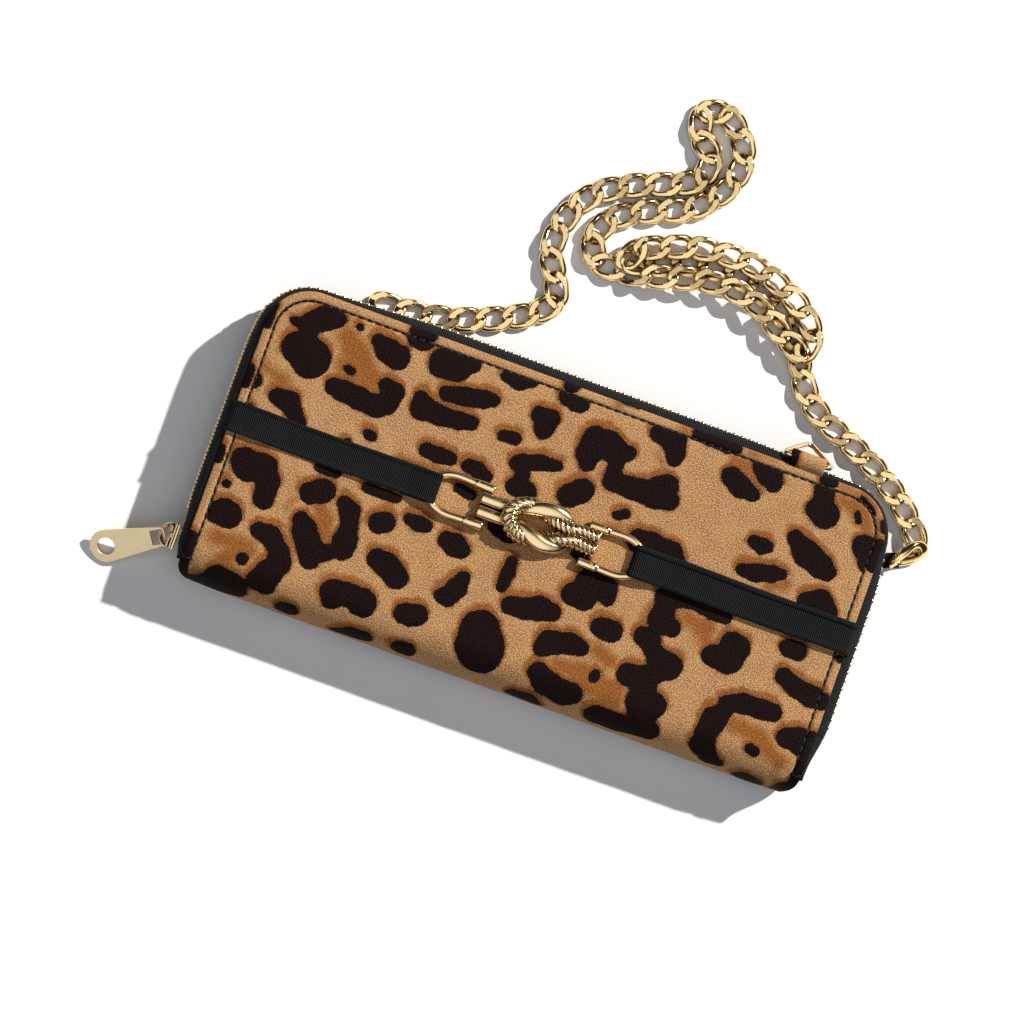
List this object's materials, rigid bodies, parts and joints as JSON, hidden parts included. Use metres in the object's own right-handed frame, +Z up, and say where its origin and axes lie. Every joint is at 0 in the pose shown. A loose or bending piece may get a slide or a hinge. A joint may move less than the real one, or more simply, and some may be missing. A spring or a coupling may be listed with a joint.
{
  "type": "chain wallet",
  "caption": "Long zip-around wallet in printed leather with a loose curb chain, a strap with a knot ornament, a clip ring and a coin pocket.",
  "frame": {"origin": "middle of the back face, which lies on the table", "axes": "+X along the length towards the chain's fixed end, +Y from the spine to the zipped top edge, +Z up out of the front face"},
  "size_m": [0.2446, 0.2, 0.0284],
  "materials": {
    "printed_skin": "fine-grained coated leather with a leopard print",
    "board": "grey board",
    "lining": "black satin lining cloth",
    "zip_tape": "black woven tape",
    "zip_teeth": "polished pale gold plating",
    "gold_fittings": "polished pale gold plating",
    "gold_pull": "satin pale gold plating",
    "ribbon": "black ribbed grosgrain",
    "gold_chain": "bright polished gold plating"
  },
  "bodies": {
    "back_half": {"back_skin": "printed_skin", "back_board": "board", "back_lining": "lining", "back_pocket_1": "lining", "back_pocket_2": "lining", "back_pocket_3": "lining", "spine_skin": "printed_skin", "spine_lining": "lining", "gusset_left": "lining", "gusset_right": "lining", "zip_tape_back": "zip_tape", "zip_teeth_back": "zip_teeth", "zip_end_left": "zip_tape", "zip_end_right": "zip_tape", "zip_stop": "zip_teeth", "chain_tab_left": "zip_tape", "chain_tab_right": "zip_tape", "chain_end_ring": "gold_chain", "chain_links": "gold_chain", "chain_return": "gold_chain"},
    "front_half": {"front_skin": "printed_skin", "front_board": "board", "front_lining": "lining", "front_pocket_1": "lining", "front_pocket_2": "lining", "front_pocket_3": "lining", "zip_tape_front": "zip_tape", "zip_teeth_front": "zip_teeth", "strap_left": "ribbon", "strap_right": "ribbon", "shackle_left": "gold_fittings", "shackle_right": "gold_fittings", "shackle_pin_left": "gold_fittings", "shackle_pin_right": "gold_fittings", "knot_smooth": "gold_fittings", "knot_rope": "gold_fittings", "ring_tab": "printed_skin"},
    "divider_back_leaf": {"divider_back": "lining"},
    "divider_front_leaf": {"divider_front": "lining"},
    "coin_pocket_leaf": {"coin_wall_back": "lining", "coin_wall_front": "lining", "coin_edge": "lining", "coin_tape_back": "zip_tape", "coin_tape_front": "zip_tape", "coin_teeth_back": "zip_teeth", "coin_teeth_front": "zip_teeth"},
    "coin_slider_body": {"coin_slider": "gold_fittings"},
    "coin_pull_body": {"coin_pull": "gold_fittings"},
    "zip_slider_body": {"zip_slider": "gold_fittings"},
    "zip_bail_body": {"zip_bail": "gold_fittings"},
    "zip_pull_body": {"zip_pull": "gold_pull"},
    "clip_ring_body": {"clip_ring": "gold_fittings"}
  },
  "joints": [
    {"name": "cover_open", "type": "hinge", "parent": "back_half", "child": "front_half", "pos_m": [0, -0.03675, 0.011], "axis": [1, 0, 0], "range_deg": [0, 60], "deforming": ["spine_skin", "spine_lining", "gusset_left", "gusset_right"]},
    {"name": "divider_back_open", "type": "hinge", "parent": "back_half", "child": "divider_back_leaf", "pos_m": [0, -0.03675, 0.011], "axis": [1, 0, 0], "range_deg": [0, 15]},
    {"name": "coin_pocket_open", "type": "hinge", "parent": "back_half", "child": "coin_pocket_leaf", "pos_m": [0, -0.03675, 0.011], "axis": [1, 0, 0], "range_deg": [0, 30]},
    {"name": "divider_front_open", "type": "hinge", "parent": "back_half", "child": "divider_front_leaf", "pos_m": [0, -0.03675, 0.011], "axis": [1, 0, 0], "range_deg": [0, 45]},
    {"name": "zip_slider_travel", "type": "slide", "parent": "back_half", "child": "zip_slider_body", "axis": [0, 1, 0], "range_m": [0, 0.06]},
    {"name": "zip_bail_swing", "type": "hinge", "parent": "zip_slider_body", "child": "zip_bail_body", "pos_m": [-0.10565, -0.03675, 0.011], "axis": [0, 1, 0], "range_deg": [0, 60]},
    {"name": "zip_pull_swing", "type": "hinge", "parent": "zip_bail_body", "child": "zip_pull_body", "pos_m": [-0.10786, -0.03791, 0.00965], "axis": [-0.1483, -0.4355, 0.8879], "range_deg": [-8, 6]},
    {"name": "clip_ring_swing", "type": "hinge", "parent": "front_half", "child": "clip_ring_body", "pos_m": [0.0701, 0.0505, 0.0214], "axis": [1, 0, 0], "range_deg": [-8, 190]},
    {"name": "coin_slider_travel", "type": "slide", "parent": "coin_pocket_leaf", "child": "coin_slider_body", "axis": [1, 0, 0], "range_m": [0, 0.14]},
    {"name": "coin_pull_swing", "type": "hinge", "parent": "coin_slider_body", "child": "coin_pull_body", "pos_m": [-0.072, 0.03775, 0.011], "axis": [0, 0, 1], "range_deg": [0, 150]}
  ],
  "couplings": [
    {"joint": "divider_back_open", "follows": "cover_open", "ratio": 0.25},
    {"joint": "coin_pocket_open", "follows": "cover_open", "ratio": 0.5},
    {"joint": "divider_front_open", "follows": "cover_open", "ratio": 0.75}
  ]
}
